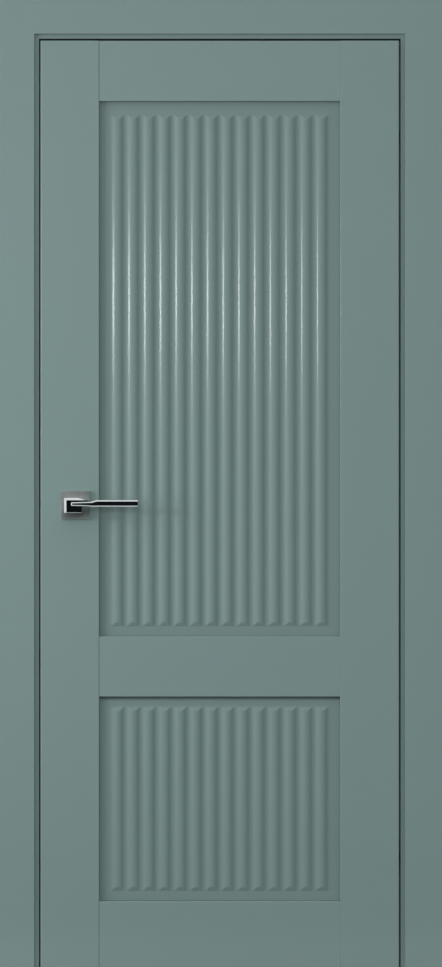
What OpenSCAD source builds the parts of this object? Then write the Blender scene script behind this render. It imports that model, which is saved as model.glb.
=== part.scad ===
// Panelled door: a leaf with ribbed panels, hung on concealed hinges in its own frame.
// X runs across the opening, the front faces -Y, Z is up and the floor is Z = 0.
// The origin lies under the middle of the leaf, halfway through its thickness.

/* [Leaf] */
// Width of the leaf
leaf_w = 762; // [700:1:900]
// Height of the leaf
leaf_h = 1981; // [1900:1:2150]
// Thickness of the leaf
leaf_t = 44; // [43.5:0.5:52]
// Gap between the leaf and the floor
floor_gap = 8; // [4:0.5:15]
// Width of each stile
stile_w = 125; // [118:1:140]
// Height of the top rail
top_rail_h = 129; // [100:1:160]
// Height of the middle rail
middle_rail_h = 128.5; // [100:0.5:160]
// Height of the bottom rail
bottom_rail_h = 152; // [110:1:220]
// Height of the lower panel's opening
lower_panel_h = 434.5; // [300:0.5:500]
// Room that the lower panel leaves to swell under the middle rail
swell_room = 6.5; // [1:0.5:8]
// How far the rails lie below the faces of the stiles
rail_recess = 0.8; // [0.2:0.1:1.5]
// Radius of the rounded arrises of stiles and rails
arris_r = 2.2; // [0.8:0.1:3]
// Radius of a dowel between rail and stile
dowel_r = 6; // [4:0.5:6.5]
// Length of a dowel
dowel_l = 100; // [70:1:120]
// Distance of a dowel from the edge of its rail
dowel_inset = 36; // [28:1:40]

/* [Panels] */
// Depth of a panel's flat below the face of the stiles
panel_recess = 11; // [9:0.5:13]
// Least flat margin beside the ribs
rib_side_margin = 20; // [12:1:40]
// Distance from crest to crest
rib_pitch = 33.4; // [28:0.1:34]
// Width of the convex crest of a rib
rib_crest_w = 19; // [18:0.1:23]
// Steepest slope of a rib's flank in degrees
rib_slope = 32; // [20:1:40]
// Length of the slope that ends each rib
rib_end_l = 8.5; // [5:0.5:15]
// Flat margin above and below the ribs
rib_margin = 21; // [15:1:40]
// Flat margin between the top rail and the ribs of the upper panel
rib_top_margin = 27; // [12:1:40]
// Thickness of the tongue round a panel
tongue_t = 11; // [10:0.5:16]
// Length of the tongue round a panel
tongue_l = 12; // [8:0.5:16]

/* [Frame] */
// Gap between the leaf and the frame
frame_gap = 3.5; // [3:0.1:4]
// Gap between the top of the leaf and the head
head_gap = 5; // [3:0.1:6]
// Thickness of jambs and head
jamb_t = 40; // [36:1:50]
// Depth of jambs and head
jamb_d = 84; // [78:1:86]
// How far the stop stands out behind the leaf
stop_w = 12; // [10:0.5:16]
// Room for the seal between leaf and stop
seal_room = 4; // [3:0.1:6]
// Width of the seal on the stop
seal_w = 9; // [6:0.5:9.5]
// Width of the frame edge that shows beside the casing
reveal = 9.5; // [9:0.1:12]
// Width of a casing
casing_w = 80; // [60:1:100]
// Thickness of a casing, which also sets the frame edge back behind the leaf's face
casing_t = 8; // [8:0.1:9]
// Radius of the casing's front arrises
casing_r = 1; // [0.4:0.1:2]
// Thickness of the tongue that holds a casing in the frame's edge
casing_tongue_t = 4; // [3:0.1:5]
// Length of the tongue that holds a casing in the frame's edge
casing_tongue_l = 8; // [5:0.5:12]
// Radius of a wall fixing hole
fix_r = 4; // [3:0.5:6]
// Height of the lowest wall fixing hole
fix_low = 300; // [200:10:400]
// Depth of the highest wall fixing hole below the head
fix_drop = 294; // [200:0.5:400]

/* [Handle] */
// Height of the handle above the floor
handle_z = 1002; // [900:1:1100]
// Distance of the spindle from the edge of the leaf
backset = 74; // [66:0.5:78]
// Width of the square rose
rose_w = 60; // [58:0.5:66]
// Thickness of the rose
rose_t = 8; // [7:0.5:12]
// How far the lever stands out from the leaf
lever_out = 60; // [57:0.5:70]
// Reach of the lever from the spindle to its tip
lever_reach = 134; // [110:1:150]
// Height of the lever's blade
blade_h = 13.5; // [11:0.5:16]
// Depth of the lever's blade
blade_t = 11; // [8:0.5:14]
// Rise of the blade's middle above the spindle
blade_rise = 3.7; // [2:0.1:6]
// Width of the lever's neck
neck_w = 37.4; // [34:0.1:42]
// Height of the lever's neck
neck_h = 31.2; // [28:0.1:36]
// Width of the square spindle
spindle_w = 8; // [7:0.5:9]
// Radius of the lever's collar in the rose
collar_r = 10; // [9:0.1:11]

/* [Latch] */
// Travel of the latch bolt
bolt_travel = 8; // [5:0.5:8]
// How far the bolt stands out of the leaf's edge at rest
bolt_nose = 1.5; // [0.5:0.1:2]
// Height of the latch bolt
bolt_h = 16; // [12:0.5:18]
// Thickness of the latch bolt
bolt_t = 12; // [10:0.5:13]
// Thickness of the latch housing
latch_t = 18; // [17.5:0.5:20]
// Width of the forend and of the strike plate
forend_w = 24; // [22:0.5:26]
// Height of the forend and of the strike plate
forend_h = 64; // [60:0.5:80]
// Thickness of the forend and of the strike plate
forend_t = 3; // [2:0.1:4]

/* [Hinges] */
// Depth of the upper hinge's middle below the top of the leaf
upper_hinge_drop = 199; // [140:1:350]
// Height of the lower hinge's middle above the foot of the leaf
lower_hinge_rise = 237; // [140:1:400]
// Height of a hinge body
hinge_h = 120; // [110:1:160]
// Largest opening angle of the leaf
swing_max = 95; // [80:1:95]
// Depth of the turning axis behind the face of the leaf
axis_depth = 7.5; // [7:0.1:8]
// Distance of the main pivots from the middle of the gap
pivot_x = 5.5; // [5.3:0.1:6]
// Distance of the main pivots behind the turning axis
pivot_y = 13.5; // [13:0.1:14]
// Distance from main pivot to guide pivot, into the wood
guide_dx = 16; // [15:0.1:18]
// Distance from main pivot to guide pivot, towards the back
guide_dy = 1; // [0.6:0.1:1.2]
// Thickness of one hinge arm
arm_t = 4; // [3:0.1:5]
// Width of a hinge arm
arm_w = 6.4; // [5:0.1:6.6]
// Radius of the eye round a hinge pin
eye_r = 3.9; // [3.6:0.1:4]
// Radius of a hinge pin
pin_r = 2; // [1.5:0.1:2.2]
// Wall of a hinge body beside its pocket
cup_wall = 1.4; // [1:0.1:1.6]

/* [Hidden] */
$fn = 48;

// Colours of the finishes
paint = "#768a87";
raw_wood = "#c9ad84";
chrome = "#d4d8da";
steel = "#9aa0a3";
rubber = "#3a3f40";

// Clearances and small sizes that all pieces share
overrun = 5;
slip = 0.1;
running = 0.05;
free_gap = 0.3;

// Leaf
face_y = -leaf_t / 2;
leaf_top = floor_gap + leaf_h;
open_w = leaf_w - 2 * stile_w;
bottom_rail_z = floor_gap;
lower_panel_z = bottom_rail_z + bottom_rail_h;
middle_rail_z = lower_panel_z + lower_panel_h;
upper_panel_z = middle_rail_z + middle_rail_h;
top_rail_z = leaf_top - top_rail_h;
upper_panel_h = top_rail_z - upper_panel_z;
rail_t = leaf_t - 2 * rail_recess;
groove_clear = 0.2;
groove_t = tongue_t + 2 * groove_clear;
groove_spare = 1;
groove_d = tongue_l + groove_spare;
shoulder_gap = 0.3;

// Panels
field_t = leaf_t - 2 * panel_recess;
rib_count = floor((open_w - 2 * rib_side_margin) / rib_pitch);
crest_half = rib_crest_w / 2;
valley_half = (rib_pitch - rib_crest_w) / 2;
crest_arc_r = crest_half / sin(rib_slope);
valley_arc_r = valley_half / sin(rib_slope);
rib_h = (crest_arc_r + valley_arc_r) * (1 - cos(rib_slope));
rib_lift = 0.15;
rib_root = 2;
crest_steps = 8;
valley_steps = 3;

// Frame
jamb_y0 = face_y + casing_t;
jamb_y1 = jamb_y0 + jamb_d;
stop_y = leaf_t / 2 + seal_room;
jamb_x = leaf_w / 2 + frame_gap;
head_z = leaf_top + head_gap;
mitre_reach = reveal + casing_w;
casing_tongue_inset = 8;
casing_tongue_at = jamb_t - casing_tongue_inset - casing_tongue_t / 2 - reveal;
seal_barb_w = 3;
seal_barb_l = 6;
fix_y = (stop_y + jamb_y1) / 2;
fix_span = head_z - fix_drop - fix_low;
fix_shares = [0, 0.5, 1];
head_screw_r = 2.5;
head_screw_l = 100;
head_screw_shares = [0.3, 0.75];

// Handle
axis_x = -leaf_w / 2 + backset;
neck_shift_x = -2.9;
neck_shift_z = -0.3;
neck_chamfer = 4.8;
neck_edge = 0.8;
neck_back = 2;
blade_chamfer = 2.6;
blade_edge = 2.2;
blade_tip_edge = 0.3;
blade_root_x = -7;
blade_root_drop = 4.4;
blade_root_lift = 1.6;
blade_step_x = 32;
blade_full_x = 46;
blade_line_x = 57;
gusset_x0 = 8;
gusset_x1 = 34;
gusset_fall = 7.7;
neck_gap = 0.5;
rose_wall = 2.5;
rose_chamfer = 0.2;
base_inset = 4;
base_w = rose_w - 2 * base_inset;
base_t = rose_t - rose_wall - slip;
rose_bolt_at = 22;
rose_bolt_r = 2;
rose_bolt_head_r = 3.4;
rose_bolt_head_t = 2.2;
spindle_in = 26;
stile_bore_r = collar_r + 1;
grub_r = 2.5;
grub_l = 9;
grub_out = 22;
spring_wire_r = 0.8;
spring_clear = 3.4;
spring_r = collar_r + spring_clear;
spring_turn = 320;

// Latch
edge_x = -leaf_w / 2;
latch_wall = 1.2;
finger_r = 13;
finger_half = 2.2;
finger_touch_r = 11.7;
finger_lean = asin(bolt_travel / 2 / finger_touch_r);
finger_t = 4;
hub_r = 7.6;
lug_w = 4;
lug_bottom = 10.2;
fork_play = 0.15;
fork_half = finger_half / cos(finger_lean) + bolt_travel / 2 - lug_bottom * tan(finger_lean) + fork_play;
tail_h = 3;
tail_bottom = finger_r + free_gap;
tail_end = fork_half + lug_w - bolt_travel / 2;
bolt_l = 22.5;
bolt_heel_l = 9;
housing_half_h = tail_bottom + tail_h + free_gap;
housing_spare = 2;
housing_end = tail_end + bolt_travel + housing_spare;
plate_screw_r = 1.8;
plate_screw_head_r = 3.6;
plate_screw_l = 22;
plate_screw_inset = 8;
plate_screw_at = forend_h / 2 - plate_screw_inset;
drive_w = 0.9;
drive_d = 1.2;
drive_share = 0.65;
strike_depth = 14;
magnet_sink = 0.4;

// Hinges
layer_gap = 0.2;
upper_hinge_z = leaf_top - upper_hinge_drop;
lower_hinge_z = floor_gap + lower_hinge_rise;
axis_y = face_y + axis_depth;
gap_x = leaf_w / 2 + frame_gap / 2;
frame_pivot = [pivot_x, pivot_y];
frame_guide = [pivot_x + guide_dx, pivot_y + guide_dy];
leaf_pivot = [-frame_pivot.x, frame_pivot.y];
leaf_guide = [-frame_guide.x, frame_guide.y];
arm_cross = frame_pivot + leaf_pivot;
frame_arm_end = frame_pivot + leaf_guide;
leaf_arm_end = frame_guide + leaf_pivot;
cup_clear = 0.4;
cross_open = frame_pivot + turned(leaf_pivot, swing_max);
arm_low = cross_open.y + (frame_gap / 2 - arm_w / 2 - cross_open.x) * guide_dy / guide_dx - arm_w / 2;
guide_low = frame_guide.y + turned(leaf_pivot, swing_max).y - eye_r;
cup_y0 = min(arm_low, guide_low) - cup_clear;
cup_y1 = leaf_arm_end.y + eye_r + cup_clear;
cup_mid = (cup_y0 + cup_y1) / 2;
cup_w = cup_y1 - cup_y0 + 2 * cup_wall;
cup_d = frame_guide.x + eye_r + cup_clear - frame_gap / 2;
pivot_wall = 6;
pin_seat = 5;
flange_t = 3;
web_bite = 0.5;
hinge_screw_r = 2.2;
hinge_screw_head_r = 4.2;
hinge_screw_head_t = 2.4;
hinge_screw_l = 32;
hinge_screw_inset = 12;
hinge_screw_at = hinge_h / 2 - hinge_screw_inset;

// A point turned about the hinge axis by an angle
function turned(p, a) = [p.x * cos(a) - p.y * sin(a), p.x * sin(a) + p.y * cos(a)];

// Lower face of the hinge layer i above the middle layer
function layer_z(i) = arm_t / 2 + layer_gap + (i - 1) * (arm_t + layer_gap);

// Outline of one rib from valley to valley: a concave, a convex and a concave arc that meet on one slope
function rib_points(c) = concat(
    [for (i = [0:valley_steps - 1])
        let (a = rib_slope * i / valley_steps)
        [c - rib_pitch / 2 + valley_arc_r * sin(a), valley_arc_r * (1 - cos(a))]],
    [for (i = [0:crest_steps])
        let (a = rib_slope * (2 * i / crest_steps - 1))
        [c + crest_arc_r * sin(a), rib_h - crest_arc_r * (1 - cos(a))]],
    [for (i = [valley_steps - 1:-1:1])
        let (a = rib_slope * i / valley_steps)
        [c + rib_pitch / 2 - valley_arc_r * sin(a), valley_arc_r * (1 - cos(a))]]
);

// Rectangle with rounded corners about the origin
module rounded_2d(w, h, r) {
    square([w - 2 * r, h], center = true);
    square([w, h - 2 * r], center = true);
    for (x = [-1, 1], y = [-1, 1])
        translate([x * (w / 2 - r), y * (h / 2 - r)]) circle(r);
}

// Upright stadium about the origin, w wide and h high
module stadium_2d(w, h) {
    square([w, h - w], center = true);
    for (s = [-1, 1]) translate([0, s * (h - w) / 2]) circle(w / 2);
}

// Carries an outline drawn in Y and Z along X
module along_x(l) {
    rotate([90, 0, 90]) linear_extrude(l, center = true) children();
}

// Countersunk screw along -X with the top of its head at the origin
module screw_x(r, head_r, head_t, l) {
    rotate([0, -90, 0]) {
        cylinder(r1 = head_r, r2 = r, h = head_t);
        cylinder(r = r, h = l);
    }
}

// Cross recess in the head of such a screw
module drive_recess(head_r) {
    for (turn = [0, 90]) rotate([turn, 0, 0])
        cube([2 * drive_d, drive_w, 2 * drive_share * head_r], center = true);
}

// Frame members

// Section of jamb and head: t runs outwards from the rebate face, y to the back
function jamb_section() = [
    [0, jamb_y0], [jamb_t, jamb_y0], [jamb_t, jamb_y1],
    [-stop_w, jamb_y1], [-stop_w, stop_y], [0, stop_y]
];

// Section of the seal: a strip on the stop with a barb in the stop's kerf
function seal_section(grow) = let (m = -stop_w / 2) [
    [m - seal_w / 2, leaf_t / 2 + free_gap], [m + seal_w / 2, leaf_t / 2 + free_gap],
    [m + seal_w / 2, stop_y], [m + seal_barb_w / 2 + grow, stop_y],
    [m + seal_barb_w / 2 + grow, stop_y + seal_barb_l + grow],
    [m - seal_barb_w / 2 - grow, stop_y + seal_barb_l + grow],
    [m - seal_barb_w / 2 - grow, stop_y], [m - seal_w / 2, stop_y]
];

// Tongue under a casing; grow makes the kerf that it goes into
module casing_tongue_2d(grow) {
    translate([casing_tongue_at - casing_tongue_t / 2 - grow, -casing_tongue_l - grow])
        square([casing_tongue_t + 2 * grow, casing_tongue_l + 2 * grow]);
}

// Section of a casing, lying on y = 0 with its rounded face at casing_t
module casing_2d() {
    casing_tongue_2d(0);
    translate([casing_tongue_at - casing_tongue_t / 2, -casing_tongue_t / 2])
        square([casing_tongue_t, casing_tongue_t]);
    square([casing_w, casing_t - casing_r]);
    translate([casing_r, 0]) square([casing_w - 2 * casing_r, casing_t]);
    for (x = [casing_r, casing_w - casing_r]) translate([x, casing_t - casing_r]) circle(casing_r);
}

// Half-space above the mitre of the corner at +X
module above_mitre() {
    low = stop_w + overrun;
    high = mitre_reach + overrun;
    translate([0, jamb_y1 + casing_t + overrun, 0]) rotate([90, 0, 0])
        linear_extrude(jamb_d + 2 * casing_t + 2 * overrun)
            polygon([[jamb_x - low, head_z - low], [jamb_x + high, head_z + high], [jamb_x - low, head_z + high]]);
}

// Half-space below the mitre of the corner at +X
module below_mitre() {
    low = stop_w + overrun;
    high = mitre_reach + overrun;
    translate([0, jamb_y1 + casing_t + overrun, 0]) rotate([90, 0, 0])
        linear_extrude(jamb_d + 2 * casing_t + 2 * overrun)
            polygon([[jamb_x - low, head_z - low], [jamb_x + high, head_z + high], [jamb_x + high, head_z - low]]);
}

// Upright member at +X from a section drawn in t and y, cut at the mitre
module upright() {
    difference() {
        translate([jamb_x, 0, 0]) linear_extrude(head_z + mitre_reach) children();
        above_mitre();
    }
}

// Head member from a section drawn in y and t, cut at both mitres
module across_head() {
    difference() {
        translate([0, 0, head_z]) along_x(2 * (jamb_x + mitre_reach)) children();
        for (m = [0, 1]) mirror([m, 0, 0]) below_mitre();
    }
}

module wall_fix_holes() {
    for (s = fix_shares)
        translate([jamb_x - stop_w - overrun, fix_y, fix_low + s * fix_span])
            rotate([0, 90, 0]) cylinder(r = fix_r, h = stop_w + jamb_t + 2 * overrun);
}

module head_screws(grow) {
    for (s = head_screw_shares)
        translate([jamb_x + jamb_t / 2, jamb_y0 + jamb_d * s, head_z + jamb_t - head_screw_l])
            cylinder(r = head_screw_r + grow, h = head_screw_l);
}

// Kerfs for the casings' tongues in the front and back edges
module casing_kerfs_2d() {
    translate([reveal, jamb_y0]) mirror([0, 1]) casing_tongue_2d(slip);
    translate([reveal, jamb_y1]) casing_tongue_2d(slip);
}

module plain_jamb() {
    difference() {
        upright() polygon(jamb_section());
        upright() polygon(seal_section(slip));
        upright() casing_kerfs_2d();
        wall_fix_holes();
        head_screws(slip);
    }
}

module jamb_latch_side() {
    color(paint) difference() {
        mirror([1, 0, 0]) plain_jamb();
        translate([-jamb_x, 0, handle_z]) {
            cube([2 * (forend_t + slip), forend_w + 2 * slip, forend_h + 2 * slip], center = true);
            cube([2 * (strike_depth + slip), strike_outer_t() + 2 * slip, strike_outer_h() + 2 * slip], center = true);
            plate_screws(grow = slip);
        }
    }
}

module jamb_hinge_side() {
    color(paint) difference() {
        plain_jamb();
        for (z = [lower_hinge_z, upper_hinge_z]) hinge_place(z) {
            hinge_block(1, slip, layer_z(3));
            hinge_screws(1, slip);
        }
    }
}

module head_jamb() {
    color(paint) difference() {
        across_head() polygon([for (p = jamb_section()) [p.y, p.x]]);
        across_head() polygon([for (p = seal_section(slip)) [p.y, p.x]]);
        across_head() rotate(90) mirror([0, 1]) casing_kerfs_2d();
        for (m = [0, 1]) mirror([m, 0, 0]) head_screws(slip);
    }
}

module seal_hinge_side() { color(rubber) upright() polygon(seal_section(0)); }
module seal_latch_side() { color(rubber) mirror([1, 0, 0]) upright() polygon(seal_section(0)); }
module seal_head() { color(rubber) across_head() polygon([for (p = seal_section(0)) [p.y, p.x]]); }

module casing_upright() { upright() translate([reveal, 0]) casing_2d(); }
module casing_across() {
    across_head() translate([0, reveal]) rotate(90) mirror([0, 1]) casing_2d();
}
module to_front() { translate([0, jamb_y0, 0]) mirror([0, 1, 0]) children(); }
module to_back() { translate([0, jamb_y1, 0]) children(); }
// The mitre planes are upright in Y, so a casing can be drawn at y = 0 and then set on its side
module casing_front_right() { color(paint) to_front() casing_upright(); }
module casing_front_left() { color(paint) mirror([1, 0, 0]) to_front() casing_upright(); }
module casing_front_head() { color(paint) to_front() casing_across(); }
module casing_back_right() { color(paint) to_back() casing_upright(); }
module casing_back_left() { color(paint) mirror([1, 0, 0]) to_back() casing_upright(); }
module casing_back_head() { color(paint) to_back() casing_across(); }

module frame_corner_screws() {
    color(steel) for (m = [0, 1]) mirror([m, 0, 0]) head_screws(0);
}

// Leaf

module groove_upright() {
    translate([open_w / 2 - overrun, -groove_t / 2, floor_gap - overrun])
        cube([groove_d + overrun, groove_t, leaf_h + 2 * overrun]);
}

module dowel_places() {
    for (r = [[bottom_rail_z, bottom_rail_h], [middle_rail_z, middle_rail_h], [top_rail_z, top_rail_h]],
            z = [r[0] + dowel_inset, r[0] + r[1] - dowel_inset], s = [-1, 1])
        translate([s * open_w / 2, 0, z]) children();
}

module dowel(grow) {
    rotate([0, 90, 0]) cylinder(r = dowel_r + grow, h = dowel_l + 2 * grow, center = true);
}

module plain_stile() {
    difference() {
        translate([open_w / 2 + stile_w / 2, 0, floor_gap])
            linear_extrude(leaf_h) rounded_2d(stile_w, leaf_t, arris_r);
        groove_upright();
        dowel_places() dowel(slip);
    }
}

module stile_hinge_side() {
    color(paint) difference() {
        plain_stile();
        for (z = [lower_hinge_z, upper_hinge_z]) hinge_place(z) {
            hinge_block(-1, slip, layer_z(4));
            hinge_screws(-1, slip);
        }
    }
}

module stile_latch_side() {
    color(paint) difference() {
        mirror([1, 0, 0]) plain_stile();
        translate([edge_x, 0, handle_z]) {
            cube([2 * (forend_t + slip), forend_w + 2 * slip, forend_h + 2 * slip], center = true);
            mirror([1, 0, 0]) plate_screws(grow = slip);
        }
        translate([edge_x, -latch_t / 2 - slip, handle_z - housing_half_h - latch_wall - slip])
            cube([housing_l() + slip, latch_t + 2 * slip, 2 * (housing_half_h + latch_wall + slip)]);
        translate([axis_x, 0, handle_z]) rotate([90, 0, 0]) {
            cylinder(r = stile_bore_r, h = leaf_t + 2 * overrun, center = true);
            for (s = [-1, 1]) translate([0, s * rose_bolt_at, 0])
                cylinder(r = rose_bolt_r + slip, h = leaf_t + 2 * overrun, center = true);
        }
    }
}

// A rail with its stub tenons; under and over say on which edges it holds a panel
module rail(z, h, under, over) {
    color(paint) difference() {
        union() {
            translate([0, 0, z + h / 2]) along_x(open_w) rounded_2d(rail_t, h, arris_r);
            translate([-open_w / 2 - tongue_l, -tongue_t / 2, z + under * groove_d + (1 - under) * arris_r])
                cube([open_w + 2 * tongue_l, tongue_t, h - (under + over) * groove_d - (2 - under - over) * arris_r]);
        }
        for (s = [[under, z], [over, z + h]]) if (s[0] > 0)
            translate([0, 0, s[1]])
                cube([open_w + 2 * overrun, groove_t, 2 * groove_d], center = true);
        dowel_places() dowel(slip);
    }
}

module bottom_rail() { rail(bottom_rail_z, bottom_rail_h, 0, 1); }
module middle_rail() { rail(middle_rail_z, middle_rail_h, 1, 1); }
module top_rail() { rail(top_rail_z, top_rail_h, 1, 0); }
module rail_dowels() { color(raw_wood) dowel_places() dowel(0); }

// Ribs of one panel face, standing on y = 0 between the heights z0 and z1
module ribs(z0, z1) {
    half = rib_count * rib_pitch / 2;
    top = rib_h + rib_lift + rib_root;
    run = rib_end_l * top / (rib_h + rib_lift);
    wave = [for (k = [0:rib_count - 1]) each rib_points((k - (rib_count - 1) / 2) * rib_pitch)];
    intersection() {
        translate([0, rib_lift, z0]) linear_extrude(z1 - z0)
            polygon(concat(wave, [[half, 0], [half, -rib_root - rib_lift], [-half, -rib_root - rib_lift]]));
        along_x(2 * half + 2 * overrun)
            polygon([[-2 * rib_root, z0], [0, z0], [top, z0 + run], [top, z1 - run], [0, z1], [-2 * rib_root, z1]]);
    }
}

// A panel in an opening from z that is h high; room is what its board leaves free at the top,
// and over is the flat margin above its ribs
module panel(z, h, room, over) {
    color(paint) union() {
        translate([-open_w / 2 + shoulder_gap, -field_t / 2, z + shoulder_gap])
            cube([open_w - 2 * shoulder_gap, field_t, h - shoulder_gap - room]);
        translate([-open_w / 2 - tongue_l, -tongue_t / 2, z - tongue_l])
            cube([open_w + 2 * tongue_l, tongue_t, h + 2 * tongue_l]);
        for (m = [0, 1]) mirror([0, m, 0])
            translate([0, field_t / 2, 0]) ribs(z + rib_margin, z + h - over);
    }
}

module upper_panel() { panel(upper_panel_z, upper_panel_h, shoulder_gap, rib_top_margin); }
module lower_panel() { panel(lower_panel_z, lower_panel_h, swell_room, rib_margin); }

// Latch and strike

function housing_l() = backset + housing_end + latch_wall;
function strike_inner_t() = bolt_t + 2 * free_gap + slip;
function strike_inner_h() = bolt_h + 2 * free_gap + slip;
function strike_outer_t() = strike_inner_t() + 2 * latch_wall;
function strike_outer_h() = strike_inner_h() + 2 * latch_wall;

// Screws of a plate that lies in a face towards +X, at both ends of the plate
module plate_screws(grow) {
    for (s = [-1, 1]) translate([grow, 0, s * plate_screw_at])
        screw_x(plate_screw_r + grow, plate_screw_head_r + grow, forend_t - slip, plate_screw_l + grow);
}

module driven_plate_screws() {
    difference() {
        plate_screws(0);
        for (s = [-1, 1]) translate([0, 0, s * plate_screw_at]) drive_recess(plate_screw_head_r);
    }
}

module plate() {
    translate([-forend_t, -forend_w / 2, -forend_h / 2]) cube([forend_t, forend_w, forend_h]);
}

module bolt_way(l) {
    cube([l, bolt_t + 2 * free_gap, bolt_h + 2 * free_gap], center = true);
}

module latch_forend() {
    color(chrome) translate([edge_x, 0, handle_z]) mirror([1, 0, 0]) difference() {
        plate();
        bolt_way(2 * forend_t + 2 * overrun);
        plate_screws(slip);
    }
}

module forend_screws() { color(steel) translate([edge_x, 0, handle_z]) mirror([1, 0, 0]) driven_plate_screws(); }

module latch_housing() {
    l = housing_l() - forend_t;
    color(steel) translate([edge_x + forend_t, 0, handle_z]) difference() {
        translate([0, -latch_t / 2, -housing_half_h - latch_wall])
            cube([l, latch_t, 2 * (housing_half_h + latch_wall)]);
        translate([-overrun, -latch_t / 2 + latch_wall, -housing_half_h])
            cube([l - latch_wall + overrun, latch_t - 2 * latch_wall, 2 * housing_half_h]);
        translate([backset - forend_t, 0, 0]) rotate([90, 0, 0])
            cylinder(r = hub_r + running, h = latch_t + 2 * overrun, center = true);
    }
}

// A plunger that the follower's finger moves by a fork on its tail
module latch_bolt() {
    heel_z = -bolt_h / 2;
    tail_top = tail_bottom + tail_h;
    color(chrome) translate([edge_x, 0, handle_z]) union() {
        translate([-bolt_nose, -bolt_t / 2, -bolt_h / 2]) cube([bolt_l, bolt_t, bolt_h]);
        translate([bolt_l - bolt_nose - bolt_heel_l, -bolt_t / 2, heel_z])
            cube([bolt_heel_l, bolt_t, tail_top - heel_z]);
        translate([bolt_l - bolt_nose - bolt_heel_l, -bolt_t / 2, tail_bottom])
            cube([backset + tail_end - bolt_l + bolt_nose + bolt_heel_l, bolt_t, tail_h]);
        for (x = [tail_end - lug_w, tail_end - 2 * lug_w - 2 * fork_half])
            translate([backset + x, -bolt_t / 2, lug_bottom])
                cube([lug_w, bolt_t, tail_top - lug_bottom]);
    }
}

module latch_follower() {
    color(steel) translate([axis_x, 0, handle_z]) difference() {
        union() {
            rotate([90, 0, 0]) cylinder(r = hub_r, h = latch_t, center = true);
            rotate([0, -finger_lean, 0]) translate([-finger_half, -finger_t / 2, 0])
                cube([2 * finger_half, finger_t, finger_r]);
        }
        cube([spindle_w + 2 * slip, latch_t + 2 * overrun, spindle_w + 2 * slip], center = true);
    }
}

module strike_plate() {
    color(chrome) translate([-jamb_x, 0, handle_z]) difference() {
        plate();
        bolt_way(2 * forend_t + 2 * overrun);
        plate_screws(slip);
    }
}

module strike_box() {
    l = strike_depth - forend_t;
    color(steel) translate([-jamb_x - strike_depth, 0, handle_z]) difference() {
        translate([0, -strike_outer_t() / 2, -strike_outer_h() / 2])
            cube([l, strike_outer_t(), strike_outer_h()]);
        translate([latch_wall, -strike_inner_t() / 2, -strike_inner_h() / 2])
            cube([l + overrun, strike_inner_t(), strike_inner_h()]);
    }
}

// The magnet fills the strike's opening and holds the leaf shut by the nose of the bolt
module strike_magnet() {
    color(steel) translate([-jamb_x - strike_depth + latch_wall, -bolt_t / 2, handle_z - bolt_h / 2])
        cube([strike_depth - latch_wall - magnet_sink, bolt_t, bolt_h]);
}

module strike_screws() { color(steel) translate([-jamb_x, 0, handle_z]) driven_plate_screws(); }

// Handle set, drawn with +Y pointing out of the leaf and the spindle at the origin

module on_front() { translate([axis_x, face_y, handle_z]) mirror([0, 1, 0]) children(); }
module on_back() { translate([axis_x, -face_y, handle_z]) children(); }
module bore_y(r, l) { rotate([90, 0, 0]) cylinder(r = r, h = l, center = true); }

module rose() {
    color(chrome) difference() {
        intersection() {
            rotate([-90, 0, 0]) linear_extrude(rose_t) square(rose_w, center = true);
            linear_extrude(rose_w, center = true) rose_side_2d();
            rotate([0, 90, 0]) linear_extrude(rose_w, center = true) rose_side_2d();
        }
        translate([0, base_t / 2 + slip / 2, 0]) cube([base_w + 2 * slip, base_t + slip, base_w + 2 * slip], center = true);
        bore_y(collar_r + free_gap, 2 * rose_t + 2 * overrun);
    }
}

module rose_side_2d() {
    h = rose_w / 2;
    polygon([[-h, 0], [h, 0], [h, rose_t - rose_chamfer], [h - rose_chamfer, rose_t],
        [rose_chamfer - h, rose_t], [-h, rose_t - rose_chamfer]]);
}

module rose_base() {
    color(steel) difference() {
        translate([0, base_t / 2, 0]) cube([base_w, base_t, base_w], center = true);
        bore_y(collar_r + free_gap, 2 * base_t + 2 * overrun);
        translate([0, base_t, 0]) bore_y(spring_r + 2 * spring_wire_r, 4 * (spring_wire_r + slip));
        for (s = [-1, 1]) translate([0, 0, s * rose_bolt_at]) {
            bore_y(rose_bolt_r + slip, 2 * base_t + 2 * overrun);
            translate([0, base_t, 0]) bore_y(rose_bolt_head_r + slip, 2 * (rose_bolt_head_t + slip));
        }
    }
}

module rose_front() { on_front() rose(); }
module rose_back() { on_back() rose(); }
module rose_base_front() { on_front() rose_base(); }
module rose_base_back() { on_back() rose_base(); }

module rose_bolts() {
    color(steel) translate([axis_x, 0, handle_z]) for (s = [-1, 1]) translate([0, 0, s * rose_bolt_at]) {
        bore_y(rose_bolt_r, leaf_t + 2 * base_t - 2 * rose_bolt_head_t);
        for (e = [-1, 1]) translate([0, e * (leaf_t / 2 + base_t - rose_bolt_head_t / 2), 0])
            bore_y(rose_bolt_head_r, rose_bolt_head_t);
    }
}

module lever_spring() {
    translate([0, base_t - spring_wire_r - slip, 0]) rotate([90, 0, 0])
        rotate_extrude(angle = spring_turn) translate([spring_r, 0]) circle(spring_wire_r);
}

module lever_springs() {
    color(steel) {
        on_front() lever_spring();
        on_back() lever_spring();
    }
}

// Takes the bevel off one front edge of a plate, from p to q with the plate on the right
module bevel_cut(p, q, front, size) {
    d = q - p;
    big = 2 * size + overrun;
    translate([p.x, front, p.y]) rotate([0, -atan2(d.y, d.x), 0])
        translate([0, -size, 0]) rotate([-45, 0, 0])
            translate([-big, -big, 0]) cube([norm(d) + 2 * big, 2 * big, big]);
}

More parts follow.
